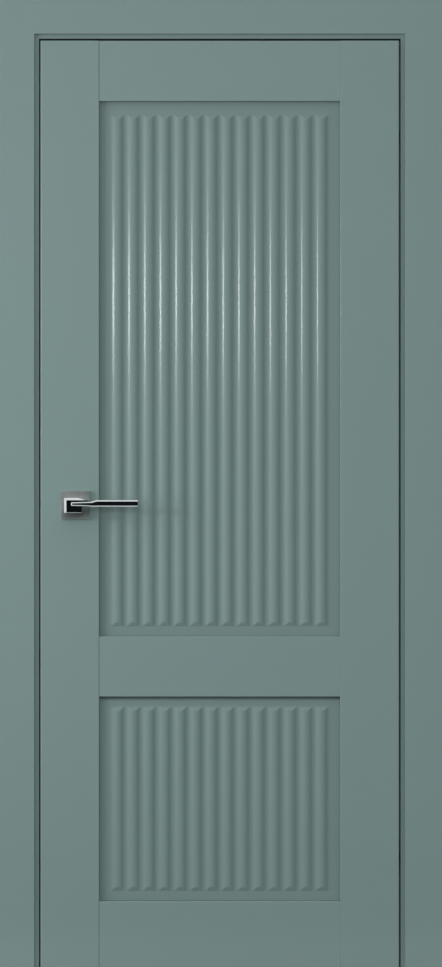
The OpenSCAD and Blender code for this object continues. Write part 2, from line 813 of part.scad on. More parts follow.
// Upright convex plate between y0 and y1, its points clockwise, each front edge bevelled by its own size
module bevelled_plate(points, sizes, y0, y1) {
    difference() {
        translate([0, y1, 0]) rotate([90, 0, 0]) linear_extrude(y1 - y0) polygon(points);
        for (i = [0:len(points) - 1]) if (sizes[i] > 0)
            bevel_cut(points[i], points[(i + 1) % len(points)], y1, sizes[i]);
    }
}

// Upper outline of the neck and its web, level at first and then slanting down to the blade
function neck_top(x) = neck_shift_z + neck_h / 2
    - max(0, x - gusset_x0) * gusset_fall / (gusset_x1 - gusset_x0);

module neck() {
    x0 = neck_shift_x - neck_w / 2;
    x1 = neck_shift_x + neck_w / 2;
    z0 = neck_shift_z - neck_h / 2;
    bevelled_plate([[x0, z0], [x0, neck_top(x0)], [gusset_x0, neck_top(gusset_x0)], [x1, neck_top(x1)], [x1, z0]],
        [neck_chamfer, neck_chamfer, 0, neck_edge, neck_edge], rose_t + neck_gap, lever_out - neck_back);
}

// Web that carries the top of the neck down to the blade
module gusset() {
    z0 = blade_rise - blade_h / 2;
    bevelled_plate([[blade_root_x, z0], [blade_root_x, neck_top(blade_root_x)], [gusset_x0, neck_top(gusset_x0)],
        [gusset_x1, neck_top(gusset_x1)], [gusset_x1, z0]],
        [0, neck_chamfer, 0, 0, 0], lever_out - blade_t, lever_out - neck_back);
}

// The blade grows out of the neck's face as a low root and steps up to its full height past the gusset
module blade() {
    z0 = blade_rise - blade_h / 2;
    z1 = blade_rise + blade_h / 2;
    root_z = z1 - blade_root_drop;
    line_z = z1 - blade_chamfer;
    bevelled_plate([[blade_root_x, z0 + blade_root_lift], [blade_root_x, root_z], [blade_line_x, line_z],
        [blade_line_x, z0]],
        [blade_edge, blade_edge, 0, blade_edge], lever_out - blade_t, lever_out);
    bevelled_plate([[blade_step_x, z0], [blade_step_x, root_z], [blade_full_x, z1],
        [lever_reach, z1], [lever_reach, z0]],
        [0, blade_chamfer, blade_chamfer, blade_tip_edge, blade_edge], lever_out - blade_t, lever_out);
}

module lever() {
    color(chrome) difference() {
        union() {
            neck();
            gusset();
            blade();
            translate([0, (rose_t + neck_gap) / 2 + neck_gap / 2, 0]) bore_y(collar_r, rose_t + neck_gap);
        }
        translate([0, spindle_in / 2, 0])
            cube([spindle_w + 2 * slip, spindle_in + 2 * slip, spindle_w + 2 * slip], center = true);
        translate([0, grub_out, neck_shift_z - neck_h / 2]) cylinder(r = grub_r + slip, h = neck_h / 2);
    }
}

module lever_front() { on_front() lever(); }
module lever_back() { on_back() lever(); }

module spindle() {
    color(steel) translate([axis_x, 0, handle_z])
        cube([spindle_w, leaf_t + 2 * spindle_in - 2 * slip, spindle_w], center = true);
}

module grub_screw() { translate([0, grub_out, -spindle_w / 2 - grub_l]) cylinder(r = grub_r, h = grub_l); }
module grub_screws() {
    color(steel) {
        on_front() grub_screw();
        on_back() grub_screw();
    }
}

// Concealed hinges, drawn about the turning axis; side is 1 in the frame and -1 in the leaf

module hinge_place(z) { translate([gap_x, axis_y, z]) children(); }
module to_side(side) { mirror([side < 0 ? 1 : 0, 0, 0]) children(); }

// Eyes at the given points, joined by bars
module link_2d(points) {
    for (p = points) translate(p) circle(eye_r);
    for (i = [0:len(points) - 2])
        let (d = points[i + 1] - points[i])
        translate(points[i]) rotate(atan2(d.y, d.x)) translate([0, -arm_w / 2]) square([norm(d), arm_w]);
}

module plate_at(z, t) { translate([0, 0, z]) linear_extrude(t) children(); }
module pin_at(p, z, l, grow) { translate([p.x, p.y, z]) cylinder(r = pin_r + grow, h = l); }
module both_ways() { for (m = [0, 1]) mirror([0, 0, m]) children(); }

// Outer form of a hinge body: a flange with round ends and a block behind it
module hinge_block(side, grow, half) {
    to_side(side) translate([frame_gap / 2, cup_mid, 0]) rotate([90, 0, 90]) {
        linear_extrude(flange_t + grow) stadium_2d(cup_w + 2 * grow, hinge_h + 2 * grow);
        linear_extrude(cup_d + cup_wall + grow)
            square([cup_w + 2 * grow, 2 * (half + pivot_wall + grow)], center = true);
    }
}

module hinge_cavity(side, half) {
    to_side(side) translate([frame_gap / 2 - overrun, cup_y0, -half])
        cube([cup_d + overrun, cup_y1 - cup_y0, 2 * half]);
}

module hinge_screws(side, grow) {
    to_side(side) for (s = [-1, 1])
        translate([frame_gap / 2 - grow, cup_mid, s * hinge_screw_at]) rotate([0, 0, 180])
            screw_x(hinge_screw_r + grow, hinge_screw_head_r + grow, hinge_screw_head_t, hinge_screw_l + grow);
}

module driven_hinge_screws(side) {
    difference() {
        hinge_screws(side, 0);
        to_side(side) for (s = [-1, 1])
            translate([frame_gap / 2, cup_mid, s * hinge_screw_at]) drive_recess(hinge_screw_head_r);
    }
}

// The frame's body holds the trunnions of its arms and the guide pin in its end walls
module hinge_frame_body(z) {
    half = layer_z(3);
    color(steel) hinge_place(z) difference() {
        hinge_block(1, 0, half);
        hinge_cavity(1, half);
        for (p = [frame_pivot, frame_guide])
            pin_at(p, -half - pin_seat - slip, 2 * (half + pin_seat + slip), running);
        hinge_screws(1, slip);
    }
}

// The leaf's body has a web in the middle layer that carries its main pin
module hinge_leaf_body(z) {
    half = layer_z(4);
    color(steel) hinge_place(z) difference() {
        union() {
            difference() {
                hinge_block(-1, 0, half);
                hinge_cavity(-1, half);
            }
            plate_at(-arm_t / 2, arm_t) {
                translate(leaf_pivot) circle(eye_r);
                translate([-cup_d - frame_gap / 2 - web_bite, leaf_pivot.y - eye_r])
                    square([cup_d + frame_gap / 2 + web_bite - pivot_x, 2 * eye_r]);
            }
        }
        pin_at(leaf_pivot, -arm_t, 2 * arm_t, running);
        pin_at(leaf_guide, -half - pin_seat - slip, 2 * (half + pin_seat + slip), running);
        hinge_screws(-1, slip);
    }
}

module hinge_frame_pin(z) {
    l = layer_z(3) + pin_seat;
    color(steel) hinge_place(z) pin_at(frame_guide, -l, 2 * l, 0);
}

module hinge_leaf_pins(z) {
    l = layer_z(4) + pin_seat;
    m = layer_z(1) + arm_t;
    color(steel) hinge_place(z) {
        pin_at(leaf_pivot, -m, 2 * m, 0);
        pin_at(leaf_guide, -l, 2 * l, 0);
    }
}

// Main arms of the frame, above and below those of the leaf, with their trunnions
module hinge_frame_arms(z) {
    z2 = layer_z(2);
    color(steel) hinge_place(z) both_ways() {
        plate_at(z2, arm_t) link_2d([frame_pivot, arm_cross, frame_arm_end]);
        pin_at(frame_pivot, z2, arm_t + layer_gap + pin_seat, 0);
        pin_at(arm_cross, layer_z(1), arm_t + layer_gap + arm_t, 0);
        pin_at(frame_arm_end, z2, 2 * arm_t + layer_gap, 0);
    }
}

module hinge_leaf_arms(z) {
    z1 = layer_z(1);
    color(steel) hinge_place(z) both_ways() difference() {
        plate_at(z1, arm_t) link_2d([leaf_pivot, arm_cross, leaf_arm_end]);
        for (p = [leaf_pivot, arm_cross, leaf_arm_end]) pin_at(p, 0, 2 * layer_z(2), running);
    }
}

// Guide link in the frame, in the middle layer, with trunnions for the leaf's arms
module hinge_frame_link(z) {
    l = layer_z(1) + arm_t;
    color(steel) hinge_place(z) difference() {
        union() {
            plate_at(-arm_t / 2, arm_t) link_2d([frame_guide, leaf_arm_end]);
            pin_at(leaf_arm_end, -l, 2 * l, 0);
        }
        pin_at(frame_guide, -arm_t, 2 * arm_t, running);
    }
}

// Guide links in the leaf, in the outer layers
module hinge_leaf_links(z) {
    z3 = layer_z(3);
    color(steel) hinge_place(z) both_ways() difference() {
        plate_at(z3, arm_t) link_2d([leaf_guide, frame_arm_end]);
        for (p = [leaf_guide, frame_arm_end]) pin_at(p, layer_z(2), 3 * arm_t, running);
    }
}

module upper_hinge_frame_body() { hinge_frame_body(upper_hinge_z); }
module lower_hinge_frame_body() { hinge_frame_body(lower_hinge_z); }
module upper_hinge_leaf_body() { hinge_leaf_body(upper_hinge_z); }
module lower_hinge_leaf_body() { hinge_leaf_body(lower_hinge_z); }
module upper_hinge_frame_pin() { hinge_frame_pin(upper_hinge_z); }
module lower_hinge_frame_pin() { hinge_frame_pin(lower_hinge_z); }
module upper_hinge_leaf_pins() { hinge_leaf_pins(upper_hinge_z); }
module lower_hinge_leaf_pins() { hinge_leaf_pins(lower_hinge_z); }
module upper_hinge_frame_arms() { hinge_frame_arms(upper_hinge_z); }
module lower_hinge_frame_arms() { hinge_frame_arms(lower_hinge_z); }
module upper_hinge_leaf_arms() { hinge_leaf_arms(upper_hinge_z); }
module lower_hinge_leaf_arms() { hinge_leaf_arms(lower_hinge_z); }
module upper_hinge_frame_link() { hinge_frame_link(upper_hinge_z); }
module lower_hinge_frame_link() { hinge_frame_link(lower_hinge_z); }
module upper_hinge_leaf_links() { hinge_leaf_links(upper_hinge_z); }
module lower_hinge_leaf_links() { hinge_leaf_links(lower_hinge_z); }

module hinge_frame_screws() {
    color(steel) for (z = [lower_hinge_z, upper_hinge_z]) hinge_place(z) driven_hinge_screws(1);
}
module hinge_leaf_screws() {
    color(steel) for (z = [lower_hinge_z, upper_hinge_z]) hinge_place(z) driven_hinge_screws(-1);
}

jamb_latch_side();
jamb_hinge_side();
head_jamb();
seal_latch_side();
seal_hinge_side();
seal_head();
casing_front_left();
casing_front_right();
casing_front_head();
casing_back_left();
casing_back_right();
casing_back_head();
frame_corner_screws();
strike_plate();
strike_box();
strike_magnet();
strike_screws();
stile_latch_side();
stile_hinge_side();
top_rail();
middle_rail();
bottom_rail();
upper_panel();
lower_panel();
rail_dowels();
latch_forend();
latch_housing();
forend_screws();
latch_bolt();
latch_follower();
rose_front();
rose_back();
rose_base_front();
rose_base_back();
rose_bolts();
lever_springs();
lever_front();
lever_back();
spindle();
grub_screws();
upper_hinge_frame_body();
lower_hinge_frame_body();
upper_hinge_leaf_body();
lower_hinge_leaf_body();
upper_hinge_frame_pin();
lower_hinge_frame_pin();
upper_hinge_leaf_pins();
lower_hinge_leaf_pins();
upper_hinge_frame_arms();
lower_hinge_frame_arms();
upper_hinge_leaf_arms();
lower_hinge_leaf_arms();
upper_hinge_frame_link();
lower_hinge_frame_link();
upper_hinge_leaf_links();
lower_hinge_leaf_links();
hinge_frame_screws();
hinge_leaf_screws();
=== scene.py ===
"""Looks of a panelled door with its frame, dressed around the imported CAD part.

The CAD nodes give every rigid shape. This script gives them their finishes, makes the ribbed
panels as fine meshes, and sets the light, the floor and the camera.
All places are in metres in the part's own frame: X across the opening, -Y to the front, Z up.
"""

import logging
import math
from collections.abc import Sequence
from dataclasses import dataclass, field
from enum import Enum, auto

import bpy
import numpy as np
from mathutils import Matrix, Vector


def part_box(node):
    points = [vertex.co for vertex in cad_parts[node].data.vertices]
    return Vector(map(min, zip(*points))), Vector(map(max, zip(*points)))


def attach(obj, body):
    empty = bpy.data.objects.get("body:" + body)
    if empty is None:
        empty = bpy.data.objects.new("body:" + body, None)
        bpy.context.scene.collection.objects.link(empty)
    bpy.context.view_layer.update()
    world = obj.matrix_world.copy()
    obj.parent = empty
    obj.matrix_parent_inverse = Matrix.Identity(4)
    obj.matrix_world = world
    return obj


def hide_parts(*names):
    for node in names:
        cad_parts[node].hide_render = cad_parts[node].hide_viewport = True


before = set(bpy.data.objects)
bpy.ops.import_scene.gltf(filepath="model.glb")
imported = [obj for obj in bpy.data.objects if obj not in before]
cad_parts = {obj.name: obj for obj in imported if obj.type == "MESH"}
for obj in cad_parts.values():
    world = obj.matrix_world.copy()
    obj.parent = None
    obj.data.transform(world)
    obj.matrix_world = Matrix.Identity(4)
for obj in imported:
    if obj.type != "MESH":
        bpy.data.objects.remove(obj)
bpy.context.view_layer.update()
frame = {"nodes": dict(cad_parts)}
LOG = logging.getLogger("door")
MM = 0.001

# Heights of ribs below this, in millimetres, count as flat
FLAT_MM = 1e-9

# The range that holds nearly all values of a noise
NOISE_RANGE = (0.3, 0.7)

# The faces of a box whose corners run with X outermost, then Y, then Z
BOX_QUADS = np.array([[0, 1, 3, 2], [4, 6, 7, 5], [0, 4, 5, 1], [2, 3, 7, 6], [0, 2, 6, 4], [1, 5, 7, 3]])


def linear(colour: str) -> tuple[float, float, float, float]:
    """Turns an sRGB hex colour into linear light, by a straight foot and a power above it.

    Args:
        colour: Six hex digits after a hash sign.

    Returns:
        Linear red, green and blue with an alpha of one.
    """
    parts = [int(colour[i:i + 2], 16) / 255 for i in (1, 3, 5)]
    light = [c / 12.92 if c <= 0.04045 else ((c + 0.055) / 1.055) ** 2.4 for c in parts]
    return (*light, 1.0)


def add_node(tree: bpy.types.NodeTree, kind: str, values: dict[str | int, object] | None = None,
             links: dict[str | int, bpy.types.NodeSocket] | None = None,
             **settings: object) -> bpy.types.Node:
    """Adds one shader node, sets it up and links its inputs.

    Args:
        tree: The node tree that takes the node.
        kind: The node's type name.
        values: Input name or number to a plain value.
        links: Input name or number to the output socket that feeds it.
        settings: Properties of the node itself.

    Returns:
        The new node.
    """
    made = tree.nodes.new(kind)
    for name, value in settings.items():
        setattr(made, name, value)
    for key, value in (values or {}).items():
        made.inputs[key].default_value = value
    for key, socket in (links or {}).items():
        tree.links.new(socket, made.inputs[key])
    return made


def looking_rays(tree: bpy.types.NodeTree) -> bpy.types.NodeSocket:
    """Tells the rays that look at the studio from those that carry its light.

    Args:
        tree: The node tree of a stage piece or of the world.

    Returns:
        One for rays of the camera and for those that metal or glass send on, and nought for the rest.
    """
    path = add_node(tree, "ShaderNodeLightPath").outputs
    seen = path["Is Camera Ray"]
    for kind in ("Is Glossy Ray", "Is Transmission Ray"):
        either = add_node(tree, "ShaderNodeMath", links={0: seen, 1: path[kind]}, operation="MAXIMUM")
        seen = either.outputs[0]
    return seen


@dataclass(frozen=True)
class Surface:
    """The nodes that a finish works on.

    Attributes:
        tree: The material's node tree.
        shader: The material's shader node.
        output: The material's output node.
        place: Object coordinates in metres.
    """

    tree: bpy.types.NodeTree
    shader: bpy.types.Node
    output: bpy.types.Node
    place: bpy.types.NodeSocket

    def feed(self, name: str, socket: bpy.types.NodeSocket) -> None:
        """Links a value to the named input of the shader."""
        self.tree.links.new(socket, self.shader.inputs[name])

    def blots(self, size_mm: float, detail: float = 2.0, stretch: Sequence[float] = (1, 1, 1),
              span: tuple[float, float] | None = None) -> bpy.types.NodeSocket:
        """Adds a soft pattern whose blots have a real size.

        Args:
            size_mm: The size of one blot.
            detail: Octaves of finer pattern.
            stretch: How many times longer a blot is along each axis.
            span: The values at the pattern's low and high spots, or none for the bare pattern.

        Returns:
            The pattern's value.
        """
        shrunk = add_node(self.tree, "ShaderNodeMapping", {"Scale": [1 / s for s in stretch]},
                          {"Vector": self.place})
        blot = add_node(self.tree, "ShaderNodeTexNoise", {"Scale": 1 / (size_mm * MM), "Detail": detail},
                        {"Vector": shrunk.outputs[0]}).outputs["Fac"]
        if span is None:
            return blot
        ends = {"From Min": NOISE_RANGE[0], "From Max": NOISE_RANGE[1], "To Min": span[0], "To Max": span[1]}
        return add_node(self.tree, "ShaderNodeMapRange", ends, {"Value": blot}).outputs[0]


@dataclass(frozen=True)
class Finish:
    """A surface finish that builds one material.

    Attributes:
        name: The material's name, after the real finish.
        colour: The sRGB colour of the surface.
        roughness: The roughness of the surface.
    """

    name: str
    colour: str
    roughness: float

    def build(self) -> bpy.types.Material:
        """Builds the material and its nodes.

        Returns:
            The finished material.
        """
        material = bpy.data.materials.new(self.name)
        material.use_nodes = True
        tree = material.node_tree
        tree.nodes.clear()
        shader = add_node(tree, "ShaderNodeBsdfPrincipled",
                          {"Base Color": linear(self.colour), "Roughness": self.roughness})
        output = add_node(tree, "ShaderNodeOutputMaterial", links={"Surface": shader.outputs[0]})
        place = add_node(tree, "ShaderNodeTexCoord").outputs["Object"]
        self.detail(Surface(tree, shader, output, place))
        return material

    def detail(self, on: Surface) -> None:
        """Adds what sets this finish apart.

        Args:
            on: The material's nodes.
        """
        raise NotImplementedError


@dataclass(frozen=True)
class SatinPaint(Finish):
    """Sprayed satin paint on a smooth board.

    The orange peel of good spraying is about a millimetre wide. It is drawn more than twice as
    wide, because a finer one doesn't show in the render.

    Attributes:
        specular: The specular level, lower than that of a gloss paint.
        drift: How far the tone drifts over a hand's width.
        drift_mm: The width of that drift.
        speck: How far the tone of a speck of pigment departs.
        speck_mm: The size of a speck.
        sheen: How far the roughness departs where the coat is thicker or thinner.
        sheen_mm: The size of such a place.
        peel_mm: The size of the orange peel that spraying leaves.
        peel_depth_mm: The depth of the orange peel.
    """

    specular: float = 0.25
    drift: float = 0.005
    drift_mm: float = 160.0
    speck: float = 0.006
    speck_mm: float = 0.9
    sheen: float = 0.012
    sheen_mm: float = 45.0
    peel_mm: float = 2.4
    peel_depth_mm: float = 0.0015

    def detail(self, on: Surface) -> None:
        """Adds a slow drift of tone, fine specks, an uneven gloss and the orange peel.

        Args:
            on: The material's nodes.
        """
        on.shader.inputs["Specular IOR Level"].default_value = self.specular
        slow = on.blots(self.drift_mm, span=(1 - self.drift, 1 + self.drift))
        speck = on.blots(self.speck_mm, detail=1, span=(1 - self.speck, 1 + self.speck))
        tone = add_node(on.tree, "ShaderNodeMath", links={0: slow, 1: speck}, operation="MULTIPLY")
        tint = add_node(on.tree, "ShaderNodeHueSaturation", {"Color": linear(self.colour)},
                        {"Value": tone.outputs[0]})
        on.feed("Base Color", tint.outputs[0])
        span = (self.roughness - self.sheen, self.roughness + self.sheen)
        on.feed("Roughness", on.blots(self.sheen_mm, detail=3, span=span))
        bump = add_node(on.tree, "ShaderNodeBump", {"Strength": 1.0, "Distance": self.peel_depth_mm * MM},
                        {"Height": on.blots(self.peel_mm, detail=1)})
        on.feed("Normal", bump.outputs[0])


@dataclass(frozen=True)
class PlatedMetal(Finish):
    """Plated metal, polished or brushed.

    The scratches of brushing are about a twentieth of a millimetre wide. They are drawn several
    times as wide, because finer ones don't show in the render.

    Attributes:
        grain: How many times longer the brushed scratches are along each axis.
        scratch_depth_mm: The depth of the scratches.
        scratch_mm: The width of the scratches.
        smear: How far wiping marks change the roughness.
        smear_mm: The width of a wiping mark.
        smear_run: How many times longer than wide a wiping mark is, along X.
        cloud: How far the tone of the plate departs.
        cloud_mm: The size of such a place.
    """

    grain: tuple[float, float, float] = (1, 1, 1)
    scratch_depth_mm: float = 0.0
    scratch_mm: float = 0.35
    smear: float = 0.02
    smear_mm: float = 14.0
    smear_run: float = 3.0
    cloud: float = 0.03
    cloud_mm: float = 6.0

    def detail(self, on: Surface) -> None:
        """Adds wiping marks to the gloss and, on brushed plate, fine scratches along the grain.

        Args:
            on: The material's nodes.
        """
        on.shader.inputs["Metallic"].default_value = 1.0
        span = (self.roughness - self.smear, self.roughness + self.smear)
        on.feed("Roughness", on.blots(self.smear_mm, detail=3, stretch=(self.smear_run, 1, 1), span=span))
        tone = on.blots(self.cloud_mm, stretch=self.grain, span=(1 - self.cloud, 1 + self.cloud))
        tint = add_node(on.tree, "ShaderNodeHueSaturation", {"Color": linear(self.colour)}, {"Value": tone})
        on.feed("Base Color", tint.outputs[0])
        if self.scratch_depth_mm > 0:
            scratch = on.blots(self.scratch_mm, detail=3, stretch=self.grain)
            bump = add_node(on.tree, "ShaderNodeBump",
                            {"Strength": 1.0, "Distance": self.scratch_depth_mm * MM}, {"Height": scratch})
            on.feed("Normal", bump.outputs[0])


@dataclass(frozen=True)
class SealRubber(Finish):
    """Dull extruded rubber with a faint bloom along its run.

    Attributes:
        bloom: The tone between the bloom and in it.
        bloom_mm: The width of a patch of bloom.
        bloom_run: How many times longer than wide a patch is, along Z.
        skin_mm: The width of the fine lines that the die leaves.
        skin_run: How many times longer than wide such a line is, along Z.
        skin_depth_mm: The depth of such a line.
    """

    bloom: tuple[float, float] = (0.85, 1.25)
    bloom_mm: float = 9.0
    bloom_run: float = 6.0
    skin_mm: float = 0.4
    skin_run: float = 12.0
    skin_depth_mm: float = 0.02

    def detail(self, on: Surface) -> None:
        """Adds the pale bloom and the fine skin of the extrusion.

        Args:
            on: The material's nodes.
        """
        tone = on.blots(self.bloom_mm, detail=3, stretch=(1, 1, self.bloom_run), span=self.bloom)
        tint = add_node(on.tree, "ShaderNodeHueSaturation", {"Color": linear(self.colour)}, {"Value": tone})
        on.feed("Base Color", tint.outputs[0])
        skin = on.blots(self.skin_mm, stretch=(1, 1, self.skin_run))
        bump = add_node(on.tree, "ShaderNodeBump", {"Strength": 1.0, "Distance": self.skin_depth_mm * MM},
                        {"Height": skin})
        on.feed("Normal", bump.outputs[0])


@dataclass(frozen=True)
class BareWood(Finish):
    """Bare wood with its grain along X, as on a dowel.

    Attributes:
        streak: The tone of dark and of pale streaks.
        streak_mm: The width of a streak.
        streak_run: How many times longer than wide a streak is.
        streak_depth_mm: The depth of the pores in a streak.
    """

    streak: tuple[float, float] = (0.8, 1.15)
    streak_mm: float = 1.2
    streak_run: float = 18.0
    streak_depth_mm: float = 0.05

    def detail(self, on: Surface) -> None:
        """Adds long grain streaks in colour and height.

        Args:
            on: The material's nodes.
        """
        run = (self.streak_run, 1, 1)
        tone = on.blots(self.streak_mm, detail=4, stretch=run, span=self.streak)
        tint = add_node(on.tree, "ShaderNodeHueSaturation", {"Color": linear(self.colour)}, {"Value": tone})
        on.feed("Base Color", tint.outputs[0])
        bump = add_node(on.tree, "ShaderNodeBump", {"Strength": 1.0, "Distance": self.streak_depth_mm * MM},
                        {"Height": on.blots(self.streak_mm, detail=4, stretch=run)})
        on.feed("Normal", bump.outputs[0])


@dataclass(frozen=True)
class FloorPaint(Finish):
    """A studio floor that throws little light back at the door, and looks pale.

    Attributes:
        pale: The sRGB colour that the camera, metal and glass meet.
        mottle: How far the tone departs.
        mottle_mm: The size of such a place.
    """

    pale: str = "#e0e3e2"
    mottle: float = 0.01
    mottle_mm: float = 220.0

    def detail(self, on: Surface) -> None:
        """Adds a faint mottle, and the pale surface for rays that look, which keeps the shadows.

        Args:
            on: The material's nodes.
        """
        tone = on.blots(self.mottle_mm, detail=4, span=(1 - self.mottle, 1 + self.mottle))
        tint = add_node(on.tree, "ShaderNodeHueSaturation", {"Color": linear(self.pale)}, {"Value": tone})
        pale = add_node(on.tree, "ShaderNodeBsdfDiffuse", links={"Color": tint.outputs[0]})
        both = add_node(on.tree, "ShaderNodeMixShader",
                        links={0: looking_rays(on.tree), 1: on.shader.outputs[0], 2: pale.outputs[0]})
        on.tree.links.new(both.outputs[0], on.output.inputs["Surface"])


@dataclass(frozen=True)
class StudioCloth(Finish):
    """A cloth that only gloss shows, so that it neither shades the door nor stands in a view.

    Attributes:
        mottle: How far the tone departs.
        mottle_mm: The size of such a place.
    """

    mottle: float = 0.1
    mottle_mm: float = 300.0

    def detail(self, on: Surface) -> None:
        """Adds a faint mottle, and lets every ray through that is no glossy one.

        Args:
            on: The material's nodes.
        """
        tone = on.blots(self.mottle_mm, detail=3, span=(1 - self.mottle, 1 + self.mottle))
        tint = add_node(on.tree, "ShaderNodeHueSaturation", {"Color": linear(self.colour)}, {"Value": tone})
        on.feed("Base Color", tint.outputs[0])
        on.shader.inputs["Specular IOR Level"].default_value = 0.0
        clear = add_node(on.tree, "ShaderNodeBsdfTransparent").outputs[0]
        gloss = add_node(on.tree, "ShaderNodeLightPath").outputs["Is Glossy Ray"]
        both = add_node(on.tree, "ShaderNodeMixShader", links={0: gloss, 1: clear, 2: on.shader.outputs[0]})
        on.tree.links.new(both.outputs[0], on.output.inputs["Surface"])


class Coat(Enum):
    """The finishes of the door."""

    PAINT = auto()
    # The frame's paint made a shade deeper, as painted shade on the recessed panels
    SHADED_PANEL_PAINT = auto()
    POLISHED = auto()
    BRUSHED = auto()
    NICKEL = auto()
    ZINC = auto()
    RUBBER = auto()
    BEECH = auto()


FINISHES: dict[Coat, Finish] = {
    # Satin paint, sprayed on smooth board: an even grey-green, with soft bright lines on curved edges only
    Coat.PAINT: SatinPaint("satin_paint_grey_green", "#748886", 0.16),
    # The same paint made a shade deeper on the panels: painted shade for the recessed panels, so that they
    # stand back from their frame
    Coat.SHADED_PANEL_PAINT: SatinPaint("satin_paint_darkened_as_panel_shade", "#6f8280", 0.16),
    # Chrome on polished castings: a mirror, white on the bevels and black where it faces the dark cloth
    Coat.POLISHED: PlatedMetal("polished_chrome_plate", "#dfe2e4", 0.06),
    # Chrome on brushed sheet: a blurred grey that darkens slowly to one side, with fine upright lines
    Coat.BRUSHED: PlatedMetal("brushed_chrome_plate", "#d9e1df", 0.34, grain=(1, 1, 40),
                              scratch_depth_mm=0.004, smear=0.04),
    # Nickel on blasted castings: a pale grey with a wide soft shine and no clear reflection
    Coat.NICKEL: PlatedMetal("satin_nickel_plate", "#bfc2c3", 0.36, scratch_depth_mm=0.002, smear=0.05),
    # Zinc on turned and stamped steel: a cool, slightly blue grey of uneven gloss
    Coat.ZINC: PlatedMetal("bright_zinc_plate", "#b4bbc0", 0.3, smear=0.06),
    # Rubber, extruded: nearly black and dull, with a paler bloom along its run
    Coat.RUBBER: SealRubber("seal_rubber", "#3a3f40", 0.75),
    # Beech, turned and left bare: a pale straw colour with darker streaks along the dowel
    Coat.BEECH: BareWood("beech_dowel", "#c9ad84", 0.6),
}

# Matt floor paint: a pale ground on which the door's soft shadow shows
FLOOR_PAINT = FloorPaint("pale_floor_paint", "#9aa09e", 0.6)

# Woven black cloth: the dark that polished metal shows where it faces the camera
CLOTH = StudioCloth("dark_cloth", "#16191a", 0.9)


def set_mesh(name: str, points: np.ndarray, quads: np.ndarray, smooth: np.ndarray) -> bpy.types.Object:
    """Makes a mesh object of quads from whole arrays.

    Args:
        name: The object's name.
        points: Vertex places, one row each.
        quads: Vertex numbers, four to a row.
        smooth: For each quad, whether it is shaded smooth.

    Returns:
        The object, linked to the scene.
    """
    mesh = bpy.data.meshes.new(name)
    mesh.from_pydata(points.tolist(), [], quads.tolist())
    mesh.polygons.foreach_set("use_smooth", smooth.astype(bool))
    mesh.update()
    made = bpy.data.objects.new(name, mesh)
    bpy.context.scene.collection.objects.link(made)
    return made


@dataclass
class Dresser:
    """Gives CAD nodes their finishes.

    Attributes:
        materials: The material of each finish.
    """

    materials: dict[Coat, bpy.types.Material]

    @staticmethod
    def coat_of(node: str) -> Coat:
        """Picks the finish of a CAD node by the piece that it is.

        Args:
            node: The node's name.

        Returns:
            The finish.
        """
        if node.startswith("seal_"):
            return Coat.RUBBER
        if node == "rail_dowels":
            return Coat.BEECH
        if node in ("lever_front", "lever_back", "latch_bolt"):
            return Coat.POLISHED
        if node in ("rose_front", "rose_back", "latch_forend", "strike_plate"):
            return Coat.BRUSHED
        if "hinge_" in node and not node.startswith(("jamb_", "stile_")):
            return Coat.NICKEL
        if node.startswith(("jamb_", "head_", "casing_", "stile_")) or node.endswith(("_rail", "_panel")):
            return Coat.PAINT
        return Coat.ZINC

    def dress(self, nodes: dict[str, bpy.types.Object]) -> None:
        """Puts the finish on every CAD node.

        Args:
            nodes: The CAD nodes by name.
        """
        for name, node in nodes.items():
            node.data.materials.clear()
            node.data.materials.append(self.materials[self.coat_of(name)])
            LOG.info("dressed %s", name)


class Facing(Enum):
    """The side of the leaf that a surface looks to."""

    FRONT = -1
    BACK = 1


@dataclass
class MeshStack:
    """Patches of quads that make up one mesh.

    Attributes:
        points: The vertices of each patch, in millimetres.
        quads: The quads of each patch, numbered through the whole mesh.
        smooth: Whether each quad is shaded smooth.
        count: The number of vertices so far.
    """

    points: list[np.ndarray] = field(default_factory=list)
    quads: list[np.ndarray] = field(default_factory=list)
    smooth: list[np.ndarray] = field(default_factory=list)
    count: int = 0

    def add(self, points: np.ndarray, quads: np.ndarray, smooth: bool) -> None:
        """Adds a patch.

        Args:
            points: The patch's vertices.
            quads: The patch's quads, numbered from nought.
            smooth: Whether the patch is shaded smooth.
        """
        self.points.append(points)
        self.quads.append(quads + self.count)
        self.smooth.append(np.full(len(quads), smooth))
        self.count += len(points)

    def build(self, name: str, shift: Sequence[float]) -> bpy.types.Object:
        """Makes one object of all patches.

        Args:
            name: The object's name.
            shift: How far the vertices are moved, in millimetres.

        Returns:
            The object, linked to the scene.
        """
        placed = (np.concatenate(self.points) + shift) * MM
        return set_mesh(name, placed, np.concatenate(self.quads), np.concatenate(self.smooth))


